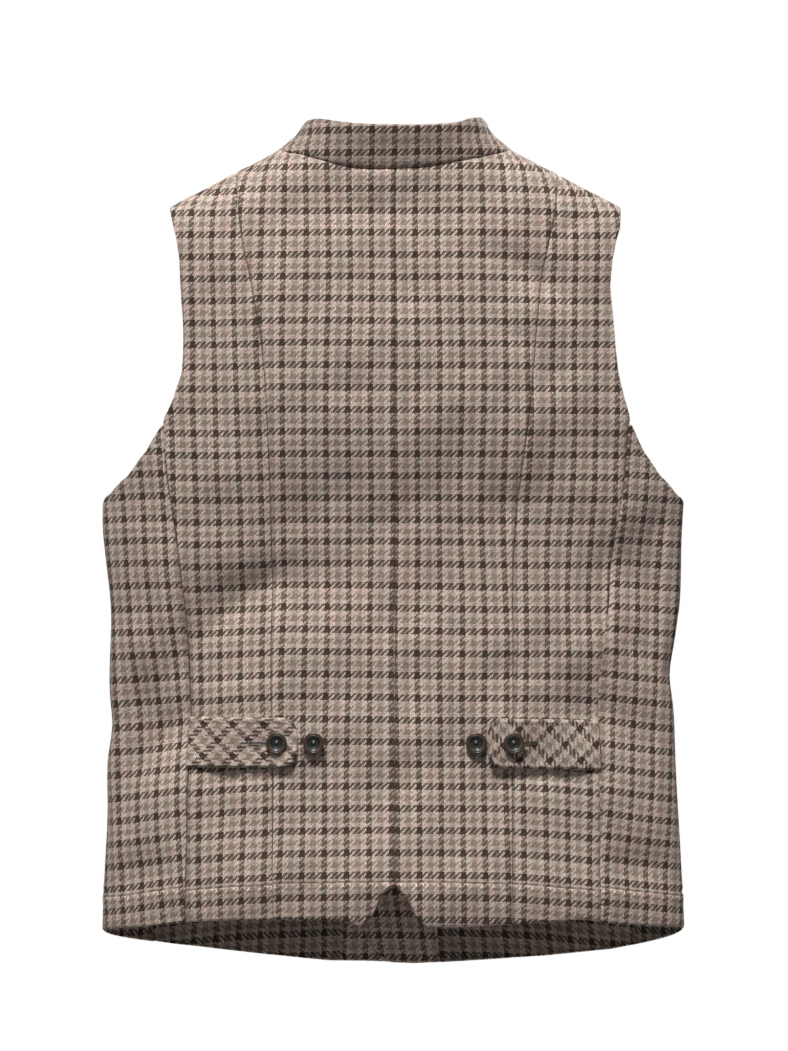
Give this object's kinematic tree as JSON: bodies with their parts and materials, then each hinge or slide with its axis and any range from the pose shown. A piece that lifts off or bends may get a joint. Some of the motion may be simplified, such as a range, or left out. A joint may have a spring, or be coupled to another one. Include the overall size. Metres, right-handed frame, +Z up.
{
  "type": "waistcoat",
  "caption": "Stand-collar checked tweed waistcoat with panelled back, buttoned adjuster tabs, vented hem and a buttoned front.",
  "frame": {"origin": "centre of the neck opening, level with the tops of the shoulder seams, where a hanger or form holds the garment", "axes": "+Z up to the collar, +Y to the wearer's back, +X to the wearer's left"},
  "size_m": [0.5226, 0.1195, 0.7191],
  "materials": {
    "tweed": "checked woollen twill",
    "tweed_bias": "checked woollen twill cut on the bias",
    "lining": "smooth satin lining",
    "button": "polished horn-effect resin",
    "thread": "twisted sewing thread"
  },
  "bodies": {
    "root": {"back_centre_left": "tweed", "back_centre_right": "tweed", "back_side_left": "tweed", "back_side_right": "tweed", "side_panel_left": "tweed", "side_panel_right": "tweed", "front_side_left": "tweed", "front_side_right": "tweed", "collar_back": "tweed", "collar_facing_back": "tweed", "neck_facing_back": "tweed", "lining_back": "lining", "hem_facing_back_left": "tweed", "hem_facing_back_right": "tweed", "lining_side_left": "lining", "lining_side_right": "lining", "lining_front_side_left": "lining", "lining_front_side_right": "lining", "rear_button_shanks": "thread"},
    "front_left": {"front_leaf_left": "tweed", "facing_front_left": "tweed", "lining_front_left": "lining", "collar_front_left": "tweed", "collar_facing_front_left": "tweed", "front_buttonholes": "thread"},
    "front_right": {"front_leaf_right": "tweed", "facing_front_right": "tweed", "lining_front_right": "lining", "collar_front_right": "tweed", "collar_facing_front_right": "tweed", "front_button_shanks": "thread"},
    "adjuster_left": {"tab_left": "tweed_bias", "tab_underside_left": "lining", "tab_buttonhole_left": "thread"},
    "adjuster_right": {"tab_right": "tweed_bias", "tab_underside_right": "lining", "tab_buttonhole_right": "thread"},
    "rear_button_left_outer": {"rear_button_left_outer": "button"},
    "rear_button_left_inner": {"rear_button_left_inner": "button"},
    "rear_button_right_outer": {"rear_button_right_outer": "button"},
    "rear_button_right_inner": {"rear_button_right_inner": "button"},
    "front_button_1": {"front_button_1": "button"},
    "front_button_2": {"front_button_2": "button"},
    "front_button_3": {"front_button_3": "button"},
    "front_button_4": {"front_button_4": "button"},
    "front_button_5": {"front_button_5": "button"},
    "front_button_6": {"front_button_6": "button"},
    "front_button_7": {"front_button_7": "button"}
  },
  "joints": [
    {"name": "adjuster_left_lift", "type": "hinge", "parent": "root", "child": "adjuster_left", "pos_m": [0.176, 0.0393, -0.5024], "axis": [0, 0, -1], "range_deg": [0, 150], "deforming": ["tab_buttonhole_left"]},
    {"name": "adjuster_right_lift", "type": "hinge", "parent": "root", "child": "adjuster_right", "pos_m": [-0.176, 0.0393, -0.5024], "axis": [0, 0, 1], "range_deg": [0, 150], "deforming": ["tab_buttonhole_right"]},
    {"name": "front_left_open", "type": "hinge", "parent": "root", "child": "front_left", "pos_m": [0.095, -0.0496, 0.006], "axis": [-0.0777, 0, 0.997], "range_deg": [0, 100], "deforming": ["front_buttonholes"]},
    {"name": "front_right_open", "type": "hinge", "parent": "root", "child": "front_right", "pos_m": [-0.095, -0.0496, 0.006], "axis": [-0.0777, 0, -0.997], "range_deg": [0, 50]},
    {"name": "turn_rear_button_left_outer", "type": "hinge", "parent": "root", "child": "rear_button_left_outer", "pos_m": [0.0994, 0.0475, -0.5024], "axis": [0.0877, 0.9961, 0], "range_deg": [-90, 90]},
    {"name": "turn_rear_button_left_inner", "type": "hinge", "parent": "root", "child": "rear_button_left_inner", "pos_m": [0.0683, 0.04969, -0.5024], "axis": [0.0536, 0.9986, 0], "range_deg": [-90, 90]},
    {"name": "turn_rear_button_right_outer", "type": "hinge", "parent": "root", "child": "rear_button_right_outer", "pos_m": [-0.0994, 0.0475, -0.5024], "axis": [-0.0877, 0.9961, 0], "range_deg": [-90, 90]},
    {"name": "turn_rear_button_right_inner", "type": "hinge", "parent": "root", "child": "rear_button_right_inner", "pos_m": [-0.0683, 0.04969, -0.5024], "axis": [-0.0536, 0.9986, 0], "range_deg": [-90, 90]},
    {"name": "turn_front_button_1", "type": "hinge", "parent": "front_right", "child": "front_button_1", "pos_m": [0, -0.053, -0.096], "axis": [0, -1, 0], "range_deg": [-90, 90]},
    {"name": "turn_front_button_2", "type": "hinge", "parent": "front_right", "child": "front_button_2", "pos_m": [0, -0.053, -0.178], "axis": [0, -1, 0], "range_deg": [-90, 90]},
    {"name": "turn_front_button_3", "type": "hinge", "parent": "front_right", "child": "front_button_3", "pos_m": [0, -0.053, -0.26], "axis": [0, -1, 0], "range_deg": [-90, 90]},
    {"name": "turn_front_button_4", "type": "hinge", "parent": "front_right", "child": "front_button_4", "pos_m": [0, -0.053, -0.342], "axis": [0, -1, 0], "range_deg": [-90, 90]},
    {"name": "turn_front_button_5", "type": "hinge", "parent": "front_right", "child": "front_button_5", "pos_m": [0, -0.053, -0.424], "axis": [0, -1, 0], "range_deg": [-90, 90]},
    {"name": "turn_front_button_6", "type": "hinge", "parent": "front_right", "child": "front_button_6", "pos_m": [0, -0.053, -0.506], "axis": [0, -1, 0], "range_deg": [-90, 90]},
    {"name": "turn_front_button_7", "type": "hinge", "parent": "front_right", "child": "front_button_7", "pos_m": [0, -0.053, -0.588], "axis": [0, -1, 0], "range_deg": [-90, 90]}
  ],
  "couplings": [
    {"joint": "front_right_open", "follows": "front_left_open", "ratio": 0.5}
  ]
}
